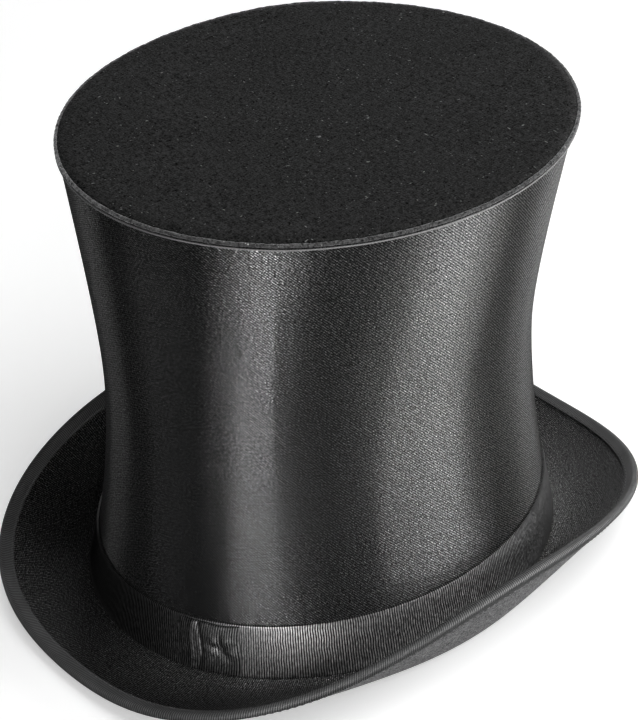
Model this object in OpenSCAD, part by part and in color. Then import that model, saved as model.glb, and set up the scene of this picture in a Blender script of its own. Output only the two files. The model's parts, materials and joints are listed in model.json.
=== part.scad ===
// Collapsible top hat (opera hat) with its folding steel frame, brim, covers and trim.
// +Z is up, +X is the wearer's left, -Y is the front. The hat rests on z = 0,
// the flat underside of the brim around the head opening.

/* [Crown] */
// Height of the crown above the top of the brim
crown_h = 192.8; // [191:0.2:195]
// Half width of the crown side where it meets the brim
base_x = 85.6; // [85:0.1:86.2]
// Half length of the crown side where it meets the brim
base_y = 102.1; // [101.5:0.1:102.7]
// Half width of the crown side at its waist
waist_x = 69.7; // [68.8:0.1:70]
// Half length of the crown side at its waist
waist_y = 92.2; // [91.3:0.1:92.5]
// Height of the waist above the top of the brim
waist_z = 98; // [96:0.5:99]
// Half width of the crown side at the tip
tip_x = 88; // [87.4:0.1:88.4]
// Half length of the crown side at the tip
tip_y = 100.9; // [100.3:0.1:101.3]
// How sharply the side turns out below the waist
turn_low = 1.8; // [1.7:0.05:1.85]
// How sharply the side turns out above the waist
turn_up = 1.26; // [1.2:0.02:1.3]

/* [Brim] */
// Thickness of the brim with its two covers
brim_t = 2.6; // [2.6:0.05:2.8]
// Half width of the brim edge before its corner shaping
brim_x = 108; // [107:0.2:109]
// Half length of the brim edge before its corner shaping
brim_y = 139.6; // [138:0.2:141]
// Share by which the edge swells at the four diagonals
brim_corner = 0.0395; // [0.03:0.001:0.045]
// Mean rise of the brim edge
rise_mean = 17.8; // [16.5:0.1:19]
// Extra rise at the sides, and drop at front and back
rise_side = 14.7; // [13.5:0.1:15.5]
// Small second wave in the edge's rise
rise_wave = 0.6; // [0:0.1:1]
// Width of the tape that binds the edge
tape_w = 5.8; // [5:0.1:7]

/* [Ribbon and sweatband] */
// Height of the hat ribbon
ribbon_h = 22; // [20:0.5:24]
// Thickness of the hat ribbon
ribbon_t = 0.8; // [0.6:0.05:0.85]
// Height of the leather sweatband
sweat_h = 29; // [28:0.5:30]

/* [Folding frame] */
// Distance of the arm pivots from the hat's centre line
pivot_r = 83.8; // [83.4:0.1:84]
// Distance of the elbows from the hat's centre line
elbow_r = 74.5; // [74:0.1:74.7]
// Height of the base pivots above the top of the brim, and depth of the tip pivots below the tip
pivot_h = 24; // [23.5:0.1:25]
// Width of an arm strip
arm_w = 6; // [5:0.1:6]
// Radius of the pivot pins
pin_r = 1; // [0.9:0.05:1.1]
// Radial clearance of a pin in a turning eye
pin_gap = 0.05; // [0.02:0.01:0.1]

/* [Hidden] */
// stations round the oval
N = 64;
// layer depths, measured inward from the outer face of the crown side
cover_d = [0, 0.7];
lining_d = [0.8, 1.3];
hoop_d = [1.4, 2.4];
foot_d = [2.75, 3.7];
sweat_d = [3.9, 5.0];
// half axes of the oval where the ribbon's outer face meets the brim
root_x = base_x + 0.1 + ribbon_t;
root_y = base_y + 0.1 + ribbon_t;
// direction of an arm seen from above, from the X axis
psi = atan(base_y / base_x);
z_base = brim_t + pivot_h;
z_tip = brim_t + crown_h - pivot_h;
z_elbow = (z_base + z_tip) / 2;
arm_l = sqrt(pow(pivot_r - elbow_r, 2) + pow(z_elbow - z_base, 2));
lean = atan((pivot_r - elbow_r) / (z_elbow - z_base));
eye_r = 2.5;
bore_r = pin_r + pin_gap;
charcoal = [0.13, 0.13, 0.14];
satin = [0.08, 0.08, 0.09];
steel = [0.55, 0.56, 0.58];

// ---- crown side -------------------------------------------------------
function share(z) = z < waist_z ? pow((waist_z - max(z, 0)) / waist_z, turn_low)
                                : pow((z - waist_z) / (crown_h - waist_z), turn_up);
function half_x(z) = waist_x + ((z < waist_z ? base_x : tip_x) - waist_x) * share(z);
function half_y(z) = waist_y + ((z < waist_z ? base_y : tip_y) - waist_y) * share(z);
function side_pt(t, z, d) = [(half_x(z) - d) * cos(t), (half_y(z) - d) * sin(t), brim_t + z];
// a thin shell that follows the crown side between depths d0 and d1
function shell(zs, d0, d1) = [for (i = [0:N - 1]) let (t = 360 * i / N)
    concat([for (z = zs) side_pt(t, z, d0)],
           [for (k = [len(zs) - 1:-1:0]) side_pt(t, zs[k], d1)])];
// where the radial line of an arm crosses a layer of the side, and the layer's direction there
function wall_r(z, d) = 1 / sqrt(pow(cos(psi) / (half_x(z) - d), 2) + pow(sin(psi) / (half_y(z) - d), 2));
function wall_a(z, d) = atan2(sin(psi) / pow(half_y(z) - d, 2), cos(psi) / pow(half_x(z) - d, 2));
function wall_tilt(z0, z1, d) = atan((wall_r(z0, d) - wall_r(z1, d)) / (z1 - z0));

// ---- brim -------------------------------------------------------------
flat_v = 0.1;
function edge_z(t) = rise_mean + rise_side * cos(2 * t) + rise_wave * cos(4 * t);
function edge_xy(t) = (1 - brim_corner * cos(4 * t)) * [brim_x * cos(t), brim_y * sin(t)];
function root_xy(t) = [root_x * cos(t), root_y * sin(t)];
function reach(t) = norm(edge_xy(t) - root_xy(t));
function curl(t) = 1.5 - 0.3 * cos(2 * t);
function climb(t, v) = v <= flat_v ? 0 : edge_z(t) * pow((v - flat_v) / (1 - flat_v), curl(t));
function slope(t, v) = v <= flat_v ? 0 : edge_z(t) * curl(t) / (1 - flat_v) * pow((v - flat_v) / (1 - flat_v), curl(t) - 1);
function along(t, v) = let (g = [reach(t), slope(t, v)]) g / norm(g);
// the sheet stops short of the edge so that wire and tape can close it
function stop_v(t) = 1 - 2.2 / norm([reach(t), slope(t, 1)]);
function tape_v(t) = stop_v(t) - (tape_w - 2) / norm([reach(t), slope(t, 0.9)]);
// point at share v of the brim's width, e further along it, d above its top face
function brim_pt(t, v, d, e = 0) = let (
    g = along(t, v), r = root_xy(t), u = (edge_xy(t) - r) / reach(t),
    s = v * reach(t) + e * g[0] - d * g[1], z = climb(t, v) + e * g[1] + d * g[0])
    [r[0] + u[0] * s, r[1] + u[1] * s, brim_t + z];
mouth_d = 3.5;
function mouth_pt(t, d) = [(base_x - mouth_d) * cos(t), (base_y - mouth_d) * sin(t), brim_t + d];
brim_vs = [0, 0.1, 0.15, 0.25, 0.42, 0.6, 0.8, 1];
function brim_layer(d0, d1) = [for (i = [0:N - 1]) let (t = 360 * i / N, w = stop_v(t))
    concat([mouth_pt(t, d0)], [for (v = brim_vs) brim_pt(t, v < flat_v + 0.01 ? v : v * w, d0)],
           [for (k = [len(brim_vs) - 1:-1:0]) brim_pt(t, brim_vs[k] < flat_v + 0.01 ? brim_vs[k] : brim_vs[k] * w, d1)],
           [mouth_pt(t, d1)])];

// ---- shared shapes ----------------------------------------------------
// closed band through a closed outline at each station; both faces of a sheet are cut along the
// same diagonals, so that neighbouring sheets stay parallel
module band(rings) {
    n = len(rings); m = len(rings[0]);
    polyhedron(points = [for (r = rings) for (p = r) p],
        faces = [for (i = [0:n - 1]) for (j = [0:m - 1])
            let (a = i * m + j, b = i * m + (j + 1) % m,
                 c = ((i + 1) % n) * m + (j + 1) % m, d = ((i + 1) % n) * m + j)
            each (j < m / 2 ? [[a, b, c], [a, c, d]] : [[a, b, d], [b, c, d]])], convexity = 10);
}
// closed body through stacked rings, with flat ends
module stack(rings) {
    n = len(rings); m = len(rings[0]);
    polyhedron(points = [for (r = rings) for (p = r) p],
        faces = concat([[for (j = [0:m - 1]) j]], [[for (j = [m - 1:-1:0]) (n - 1) * m + j]],
            [for (i = [0:n - 2]) for (j = [0:m - 1])
                let (a = i * m + j, b = i * m + (j + 1) % m, c = (i + 1) * m + (j + 1) % m, d = (i + 1) * m + j)
                each [[a, d, c], [a, c, b]]]), convexity = 6);
}
function oval(a, b) = [for (i = [0:N - 1]) [a * cos(360 * i / N), b * sin(360 * i / N)]];
// one of the four corners of the frame: 1 front left, 2 back left, 3 back right, 4 front right
module corner(k) {
    mirror([k > 2 ? 1 : 0, 0, 0]) mirror([0, k == 1 || k == 4 ? 1 : 0, 0]) rotate([0, 0, psi]) children();
}
// round bar across the arm, centred on y = 0
module cross(r, w, y = 0) { translate([0, y + w / 2, 0]) rotate([90, 0, 0]) cylinder(r = r, h = w, $fn = 48); }
module box(x0, x1, y, z0, z1) { translate([x0, -y, z0]) cube([x1 - x0, 2 * y, z1 - z0]); }
// headed pin
module pin(half) {
    cross(pin_r, 2 * half);
    cross(1.7, 0.6, half + 0.25);
    cross(1.7, 0.6, -half - 0.25);
}
// pivot foot with two ears; zf0 and zf1 are the foot's ends, zp the pivot, all above the brim
module bracket(zf0, zf1, zp) {
    zm = (zf0 + zf1) / 2;
    up = zp > zm ? 1 : -1;
    r1 = wall_r(up > 0 ? zf1 : zf0, foot_d[1]);
    zn = up > 0 ? zf1 : zf0;
    difference() {
        union() {
            translate([wall_r(zm, foot_d[0]), 0, brim_t + zm]) rotate([0, 0, wall_a(zm, foot_d[0]) - psi])
                rotate([0, -wall_tilt(zf0, zf1, foot_d[0]), 0])
                    translate([foot_d[0] - foot_d[1], -4, -(zf1 - zf0) / 2]) cube([foot_d[1] - foot_d[0], 8, zf1 - zf0]);
            for (s = [-1, 1]) translate([0, s * 2.3 + 0.7, brim_t]) rotate([90, 0, 0]) linear_extrude(height = 1.4) {
                translate([pivot_r, zp]) circle(r = 2.6, $fn = 48);
                polygon([[pivot_r - 2.6, zp], [pivot_r - 1.2, zp - up * 5.5], [r1 - 0.3, zn - up * 7], [r1 + 0.6, zn - up * 7],
                         [r1 + 0.6, zn - up * 0.5], [pivot_r + 2.6, zp]]);
            }
        }
        translate([pivot_r, 0, brim_t + zp]) cross(bore_r, 12);
        for (z = [zm - 4, zm + 4] ) rivet_at(z, 1.2);
    }
}
module rivet_at(z, r) {
    translate([wall_r(z, hoop_d[0]), 0, brim_t + z]) rotate([0, 0, wall_a(z, hoop_d[0]) - psi])
        rotate([0, -90, 0]) translate([0, 0, 0.15]) cylinder(r = r, h = 1.95, $fn = 32);
}

// ---- brim parts -------------------------------------------------------
module brim_core() { color([0.25, 0.24, 0.22]) band(brim_layer(-1.9, -0.7)); }
module brim_top_cover() { color(satin) band(brim_layer(-0.6, 0)); }
module brim_under_cover() { color(charcoal) band(brim_layer(-brim_t, -2)); }
module brim_binding() {
    color(charcoal) band([for (i = [0:N - 1]) let (t = 360 * i / N, w = stop_v(t), q = tape_v(t), m = (w + q) / 2)
        [brim_pt(t, q, -brim_t - 0.6), brim_pt(t, m, -brim_t - 0.6), brim_pt(t, w, -brim_t - 0.6), brim_pt(t, w, -brim_t + 0.4, 1.9),
         brim_pt(t, w, -0.4, 1.9), brim_pt(t, w, 0.6), brim_pt(t, m, 0.6), brim_pt(t, q, 0.6),
         brim_pt(t, q, 0.25), brim_pt(t, m, 0.25), brim_pt(t, w, 0.25), brim_pt(t, w, -0.6, 1.5),
         brim_pt(t, w, -brim_t + 0.6, 1.5), brim_pt(t, w, -brim_t - 0.25), brim_pt(t, m, -brim_t - 0.25), brim_pt(t, q, -brim_t - 0.25)]]);
}
module brim_edge_wire() {
    color(steel) band([for (i = [0:N - 1]) let (t = 360 * i / N, w = stop_v(t))
        [for (a = [0:60:300]) brim_pt(t, w, -brim_t / 2 + 0.5 * sin(a), 0.75 + 0.5 * cos(a))]]);
}

// ---- crown and trim ---------------------------------------------------
side_zs = [0.1, 9, 22, 44, 70, waist_z - 8, waist_z + 8, 122, 150, crown_h - 2];
module side_cover() { color(satin) band(shell(side_zs, cover_d[0], cover_d[1])); }
module side_lining() { color([0.2, 0.2, 0.21]) band(shell([for (z = side_zs) min(z, crown_h - 2.4)], lining_d[0], lining_d[1])); }
module hat_ribbon() { color([0.1, 0.1, 0.11]) band(shell([0.1, 8, ribbon_h], -0.1 - ribbon_t, -0.1)); }
// folded and tacked end of the ribbon, on its front left
module ribbon_join() {
    t = -65; z = ribbon_h / 2; d = -0.3 - ribbon_t;
    a = atan2(sin(t) / (half_y(z) - d), cos(t) / (half_x(z) - d));
    dx = (half_x(0.5) - half_x(ribbon_h - 0.5)) * cos(t); dy = (half_y(0.5) - half_y(ribbon_h - 0.5)) * sin(t);
    color([0.1, 0.1, 0.11]) translate(side_pt(t, z, d)) rotate([0, 0, a])
        rotate([0, -atan(norm([dx, dy]) / (ribbon_h - 1)), 0]) {
            translate([0.2, -7, -10]) cube([0.9, 14, 20]);
            translate([1.1, -2.5, -9]) cube([0.9, 5, 18]);
        }
}
// leather band, slit at the four frame corners
module sweatband() {
    color([0.24, 0.15, 0.1]) difference() {
        band(shell([-2.2, 0, 9, 18, sweat_h - brim_t], sweat_d[0], sweat_d[1]));
        for (k = [1:4]) corner(k) translate([80, -4.7, brim_t + 8]) cube([20, 9.4, 40]);
    }
}
// round reed sewn into the lower edge of the leather
module sweatband_reed() {
    color([0.16, 0.1, 0.07]) band([for (i = [0:N - 1]) let (t = 360 * i / N)
        [for (a = [0:60:300]) [(base_x - 5.8 + 0.75 * cos(a)) * cos(t), (base_y - 5.8 + 0.75 * cos(a)) * sin(t), 1.3 + 0.75 * sin(a)]]]);
}
// small bow on the leather at the back
module sweatband_bow() {
    color([0.1, 0.1, 0.11]) translate([0, half_y(12) - 6.35, brim_t + 12]) rotate([90 + 13, 0, 0]) {
        for (s = [-1, 1]) {
            translate([s * 5.2, 0, 0]) rotate([0, 0, s * 8]) linear_extrude(height = 1) difference() {
                scale([1, 1]) polygon([[-4.6, 0.8], [-4.6, -0.8], [4.4, -3.6], [5, 0], [4.4, 3.6]]);
                circle(r = 0.9, $fn = 24);
            }
            rotate([0, 0, s * 62 - 90]) translate([1.2, -1.4, 0]) cube([10, 2.8, 0.6]);
        }
        cylinder(r = 1.8, h = 1.5, $fn = 32);
    }
}

// ---- folding frame ----------------------------------------------------
module hoop_band(z0, z1) { color(steel) band(shell([z0, (z0 + z1) / 2, z1], hoop_d[0], hoop_d[1])); }
module base_hoop() { hoop_band(0.2, 14); }
module tip_hoop() { hoop_band(crown_h - 17, crown_h - 4.6); }
module base_brackets() { color([0.5, 0.5, 0.52]) for (k = [1:4]) corner(k) bracket(1.5, 17.5, pivot_h); }
module tip_brackets() { color([0.5, 0.5, 0.52]) for (k = [1:4]) corner(k) bracket(crown_h - 18.5, crown_h - 4.8, crown_h - pivot_h); }
module base_pivot_pins() { color([0.7, 0.65, 0.5]) for (k = [1:4]) corner(k) translate([pivot_r, 0, z_base]) pin(3.1); }
module tip_pivot_pins() { color([0.7, 0.65, 0.5]) for (k = [1:4]) corner(k) translate([pivot_r, 0, z_tip]) pin(3.1); }
module base_rivets() { color([0.7, 0.65, 0.5]) for (k = [1:4]) corner(k) for (z = [5.5, 13.5]) rivet_at(z, 1.2); }
module tip_rivets() { color([0.7, 0.65, 0.5]) for (k = [1:4]) corner(k) for (z = [crown_h - 15.65, crown_h - 7.65]) rivet_at(z, 1.2); }
// the strip lies on the inner side of the line through its two pivots
module strip(z0, z1) { box(-2.4, -0.6, arm_w / 2, z0, z1); }
module lower_arm(k) {
    color(steel) corner(k) translate([pivot_r, 0, z_base]) rotate([0, -lean, 0]) difference() {
        union() {
            cross(eye_r, 2.8);
            box(-2.4, 0.4, 1.4, 0, 8);
            strip(6.5, arm_l - 7);
            box(-2.4, -0.6, 5.2, arm_l - 9, arm_l - 3.4);
            for (s = [-1, 1]) {
                translate([0, 0, arm_l]) cross(eye_r, 1.5, s * 4.45);
                translate([-2.4, s * 4.45 - 0.75, arm_l - 8]) cube([3.4, 1.5, 8]);
            }
        }
        cross(bore_r, 12);
        translate([0, 0, arm_l]) cross(bore_r, 14);
    }
}
module upper_arm(k) {
    color(steel) corner(k) translate([elbow_r, 0, z_elbow]) rotate([0, lean, 0]) difference() {
        union() {
            cross(eye_r, 2.4);
            box(-2.4, 0.4, 1.2, 0, 8.5);
            strip(7, arm_l - 6.5);
            box(-2.4, 0.4, 1.4, arm_l - 8, arm_l);
            translate([0, 0, arm_l]) cross(eye_r, 2.8);
        }
        cross(bore_r, 12);
        translate([0, 0, arm_l]) cross(bore_r, 12);
    }
}
module elbow_pin(k) { color([0.7, 0.65, 0.5]) corner(k) translate([elbow_r, 0, z_elbow]) pin(5.3); }
// close-wound turns round the pin, with one straight leg that bears on the lower arm
module elbow_spring(k) {
    rc = 1.75; rw = 0.34;
    color([0.65, 0.66, 0.7]) corner(k) translate([elbow_r, 0, z_elbow]) rotate([0, -lean, 0]) for (s = [-1, 1]) {
        translate([0, s * 2.45, 0]) rotate([90, 0, 0]) rotate_extrude($fn = 48)
            for (i = [-1:1]) translate([rc, i * 0.62]) circle(r = rw, $fn = 24);
        translate([rc, s * 3.07, -6]) cylinder(r = 0.26, h = 6.4, $fn = 16);
    }
}
module lower_arm_1() { lower_arm(1); }
module lower_arm_2() { lower_arm(2); }
module lower_arm_3() { lower_arm(3); }
module lower_arm_4() { lower_arm(4); }
module upper_arm_1() { upper_arm(1); }
module upper_arm_2() { upper_arm(2); }
module upper_arm_3() { upper_arm(3); }
module upper_arm_4() { upper_arm(4); }
module elbow_pin_1() { elbow_pin(1); }
module elbow_pin_2() { elbow_pin(2); }
module elbow_pin_3() { elbow_pin(3); }
module elbow_pin_4() { elbow_pin(4); }
module elbow_spring_1() { elbow_spring(1); }
module elbow_spring_2() { elbow_spring(2); }
module elbow_spring_3() { elbow_spring(3); }
module elbow_spring_4() { elbow_spring(4); }

// ---- tip --------------------------------------------------------------
module tip_board() {
    color([0.3, 0.28, 0.25]) translate([0, 0, brim_t + crown_h - 4.4]) linear_extrude(height = 1.8) polygon(oval(tip_x - 3.2, tip_y - 3.2));
}
module tip_cover() {
    color(charcoal) stack([for (p = [[-1.8, -0.1], [-1.5, 0.35], [-0.7, 0.55], [-0.2, 0.1], [0, -0.9]])
        [for (q = oval(tip_x + p[1], tip_y + p[1])) [q[0], q[1], brim_t + crown_h + p[0]]]]);
}
// thin cord in the seam between tip and side
module tip_welt() {
    color([0.3, 0.3, 0.31]) band([for (i = [0:N - 1]) let (t = 360 * i / N)
        [for (a = [0:60:300]) [(tip_x + 0.35 + 0.45 * cos(a)) * cos(t), (tip_y + 0.35 + 0.45 * cos(a)) * sin(t), brim_t + crown_h - 2.6 + 0.45 * sin(a)]]]);
}
module tip_lining() {
    color([0.2, 0.2, 0.21]) translate([0, 0, brim_t + crown_h - 5.1]) linear_extrude(height = 0.5) polygon(oval(tip_x - 6.5, tip_y - 6.5));
}

brim_core();
brim_top_cover();
brim_under_cover();
brim_binding();
brim_edge_wire();
base_hoop();
base_brackets();
base_pivot_pins();
base_rivets();
side_cover();
side_lining();
hat_ribbon();
ribbon_join();
sweatband();
sweatband_reed();
sweatband_bow();
lower_arm_1();
lower_arm_2();
lower_arm_3();
lower_arm_4();
elbow_pin_1();
elbow_pin_2();
elbow_pin_3();
elbow_pin_4();
elbow_spring_1();
elbow_spring_2();
elbow_spring_3();
elbow_spring_4();
upper_arm_1();
upper_arm_2();
upper_arm_3();
upper_arm_4();
tip_hoop();
tip_brackets();
tip_pivot_pins();
tip_rivets();
tip_board();
tip_cover();
tip_welt();
tip_lining();
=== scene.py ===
import json
import math
import bpy
import numpy as np
from mathutils import Matrix, Vector

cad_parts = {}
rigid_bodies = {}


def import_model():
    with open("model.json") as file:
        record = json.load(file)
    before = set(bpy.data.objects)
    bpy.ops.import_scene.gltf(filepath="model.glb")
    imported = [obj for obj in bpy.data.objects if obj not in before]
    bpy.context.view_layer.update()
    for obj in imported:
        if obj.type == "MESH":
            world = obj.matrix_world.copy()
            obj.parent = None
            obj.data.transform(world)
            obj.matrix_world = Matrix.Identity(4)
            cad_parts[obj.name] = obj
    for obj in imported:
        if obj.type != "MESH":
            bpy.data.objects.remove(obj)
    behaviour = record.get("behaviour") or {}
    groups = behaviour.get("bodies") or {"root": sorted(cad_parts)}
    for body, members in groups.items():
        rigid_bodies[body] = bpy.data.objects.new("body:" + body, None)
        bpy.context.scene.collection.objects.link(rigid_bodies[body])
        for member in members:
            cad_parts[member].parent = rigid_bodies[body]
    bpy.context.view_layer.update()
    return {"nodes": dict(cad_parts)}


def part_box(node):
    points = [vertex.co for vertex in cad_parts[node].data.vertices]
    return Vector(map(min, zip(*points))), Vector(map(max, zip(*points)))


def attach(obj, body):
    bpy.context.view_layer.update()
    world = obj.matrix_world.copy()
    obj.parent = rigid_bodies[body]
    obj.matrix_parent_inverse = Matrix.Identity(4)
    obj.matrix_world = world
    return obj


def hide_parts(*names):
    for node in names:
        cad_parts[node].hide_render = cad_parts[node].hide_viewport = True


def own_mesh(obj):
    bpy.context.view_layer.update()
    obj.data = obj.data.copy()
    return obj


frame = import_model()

MM = 0.001
PI = math.pi
rng = np.random.default_rng(20)

# ----------------------------------------------------------------- the hat's own dimensions, in mm
BRIM_T, CROWN_H = 2.6, 192.8
BASE, WAIST, TIP = (85.6, 102.1), (69.7, 92.2), (88.0, 100.9)
WAIST_Z, TURN_LOW, TURN_UP = 98.0, 1.8, 1.36
RIBBON_H, RIBBON_T = 22.0, 0.8
PSI = math.degrees(math.atan(BASE[1] / BASE[0]))
top_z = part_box("tip_cover")[1].z / MM


def profile(z, i):
    lo = WAIST[i] + (BASE[i] - WAIST[i]) * np.power(np.clip((WAIST_Z - np.maximum(z, 0)) / WAIST_Z, 0, None), TURN_LOW)
    up = WAIST[i] + (TIP[i] - WAIST[i]) * np.power(np.clip((z - WAIST_Z) / (CROWN_H - WAIST_Z), 0, None), TURN_UP)
    return np.where(z < WAIST_Z, lo, up)


def ease(z, a, b):
    f = np.clip((z - a) / (b - a), 0, 1)
    return f * f * (3 - 2 * f)


ZT = np.arange(-60, 250.1, 0.25)
bell = np.exp(-(np.arange(-160, 161) * 0.25 / 11.0) ** 2 / 2)
PROFILE = []
for axis in (0, 1):
    raw = profile(ZT, axis)
    soft = np.convolve(raw, bell / bell.sum(), mode="same")
    wgt = ease(ZT, 28, 62) * (1 - ease(ZT, 135, 165))
    PROFILE.append(raw * (1 - wgt) + soft * wgt)


def half(z, i):
    return np.interp(np.asarray(z, float), ZT, PROFILE[i])


def side(t, z, d):
    """Point on the crown side: t angle in radians, z above the brim, d depth inward, all mm."""
    t, z, d = np.broadcast_arrays(np.asarray(t, float), z, d)
    return np.stack([(half(z, 0) - d) * np.cos(t), (half(z, 1) - d) * np.sin(t), BRIM_T + z], -1)


def noise1(x, period, seed):
    """Smooth periodic 1-D noise, about -1 to 1."""
    r = np.random.default_rng(seed)
    a = r.normal(size=12)
    p = r.uniform(0, 2 * PI, 12)
    k = np.arange(1, 13)
    return (a[:, None] * np.sin(k[:, None] * (2 * PI / period) * np.ravel(x)[None, :] + p[:, None]) / np.sqrt(k)[:, None]).sum(0).reshape(np.shape(x)) * 0.33


def wrapdeg(a):
    return (a + 180.0) % 360.0 - 180.0


# ----------------------------------------------------------------- brim surface
ROOT = (BASE[0] + 0.1 + RIBBON_T, BASE[1] + 0.1 + RIBBON_T)
FLAT = 0.1


def edge_z(t):
    return 17.8 + 14.7 * np.cos(2 * t) + 0.6 * np.cos(4 * t)


def edge_xy(t):
    k = 1 - 0.0395 * np.cos(4 * t)
    return np.stack([108.0 * k * np.cos(t), 139.6 * k * np.sin(t)], -1)


def root_xy(t):
    return np.stack([ROOT[0] * np.cos(t), ROOT[1] * np.sin(t)], -1)


def reach(t):
    return np.linalg.norm(edge_xy(t) - root_xy(t), axis=-1)


def curl(t):
    return 1.5 - 0.3 * np.cos(2 * t)


def climb(t, v):
    return edge_z(t) * np.power(np.clip((v - FLAT) / (1 - FLAT), 0, None), curl(t))


def slope(t, v):
    return edge_z(t) * curl(t) / (1 - FLAT) * np.power(np.clip((v - FLAT) / (1 - FLAT), 0, None), curl(t) - 1)


def stop_v(t):
    return 1 - 2.2 / np.sqrt(reach(t) ** 2 + slope(t, 1.0) ** 2)


def tape_v(t, w=5.8):
    return stop_v(t) - (w - 2) / np.sqrt(reach(t) ** 2 + slope(t, 0.9) ** 2)


def brim(t, v, d, e=0.0):
    t, v, d, e = np.broadcast_arrays(np.asarray(t, float), v, d, e)
    g0, g1 = reach(t), slope(t, v)
    n = np.sqrt(g0 * g0 + g1 * g1)
    g0, g1 = g0 / n, g1 / n
    r = root_xy(t)
    u = (edge_xy(t) - r) / reach(t)[..., None]
    s = v * reach(t) + e * g0 - d * g1
    z = climb(t, v) + e * g1 + d * g0
    return np.concatenate([r + u * s[..., None], (BRIM_T + z)[..., None]], -1)


# ----------------------------------------------------------------- mesh helpers
def link(name, verts, faces, mat, uv=None, smooth=True):
    me = bpy.data.meshes.new(name)
    me.from_pydata([tuple(v) for v in np.asarray(verts) * MM], [], faces)
    me.materials.append(mat)
    if smooth:
        me.polygons.foreach_set("use_smooth", [True] * len(me.polygons))
    if uv is not None:
        layer = me.uv_layers.new(name="cloth")
        layer.data.foreach_set("uv", np.asarray(uv, float).ravel())
    me.validate(clean_customdata=False)
    me.update()
    if smooth:
        me.set_sharp_from_angle(angle=math.radians(55))
    ob = bpy.data.objects.new(name, me)
    bpy.context.scene.collection.objects.link(ob)
    return ob


def sweep(name, P, mat, U=None, V=None, closed=True, caps=False):
    """P[i, j] are points in mm, i round the hat and j round the closed outline.
    U[i] and V[j] (or V[i, j]) are the cloth coordinates in mm."""
    n, m = P.shape[:2]
    verts = P.reshape(-1, 3)
    last = n if closed else n - 1
    I, J = np.meshgrid(np.arange(last), np.arange(m), indexing="ij")
    I2, J2 = (I + 1) % n, (J + 1) % m
    quads = np.stack([I * m + J, I2 * m + J, I2 * m + J2, I * m + J2], -1).reshape(-1, 4)
    faces = quads.tolist()
    uv = None
    if U is not None:
        U = np.asarray(U, float)
        step = U[-1] - U[-2]
        Ue = np.append(U, U[-1] + step)
        V = np.asarray(V, float)
        if V.ndim == 1:
            V = np.broadcast_to(V, (n, m))
        Vn = V[np.arange(last + 1) % n] if closed else V
        jj = np.arange(m)
        j2 = (jj + 1) % m
        a = np.stack([np.broadcast_to(Ue[:last, None], (last, m)), Vn[:last][:, jj]], -1)
        b = np.stack([np.broadcast_to(Ue[1:last + 1, None], (last, m)), Vn[1:last + 1][:, jj]], -1)
        c = np.stack([np.broadcast_to(Ue[1:last + 1, None], (last, m)), Vn[1:last + 1][:, j2]], -1)
        d = np.stack([np.broadcast_to(Ue[:last, None], (last, m)), Vn[:last][:, j2]], -1)
        uv = np.stack([a, b, c, d], 2).reshape(-1, 2)
    if not closed:
        faces.append(list(range(m)))
        faces.append([(n - 1) * m + j for j in range(m - 1, -1, -1)])
        if uv is not None:
            uv = np.concatenate([uv, np.zeros((2 * m, 2))])
    ob = link(name, verts, faces, mat, uv)
    fix_normals(ob)
    return ob


def fix_normals(ob):
    import bmesh
    bm = bmesh.new()
    bm.from_mesh(ob.data)
    bmesh.ops.recalc_face_normals(bm, faces=bm.faces)
    bm.to_mesh(ob.data)
    bm.free()
    ob.data.update()


def arc_len(P):
    s = np.linalg.norm(np.diff(P, axis=0, append=P[:1]), axis=1)
    return np.concatenate([[0], np.cumsum(s)[:-1]])


def sheet_outline(zs_out, zs_in, d_out, d_in):
    """Outline of a thin cloth shell: up the outer face, down the inner face."""
    return np.concatenate([zs_out, zs_in[::-1]]), np.concatenate([np.full(len(zs_out), d_out), np.full(len(zs_in), d_in)])


def join(objs, name):
    bpy.ops.object.select_all(action="DESELECT")
    for o in objs:
        o.select_set(True)
    bpy.context.view_layer.objects.active = objs[0]
    bpy.ops.object.join()
    ob = bpy.context.view_layer.objects.active
    ob.name = name
    ob.data.name = name
    return ob


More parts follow.
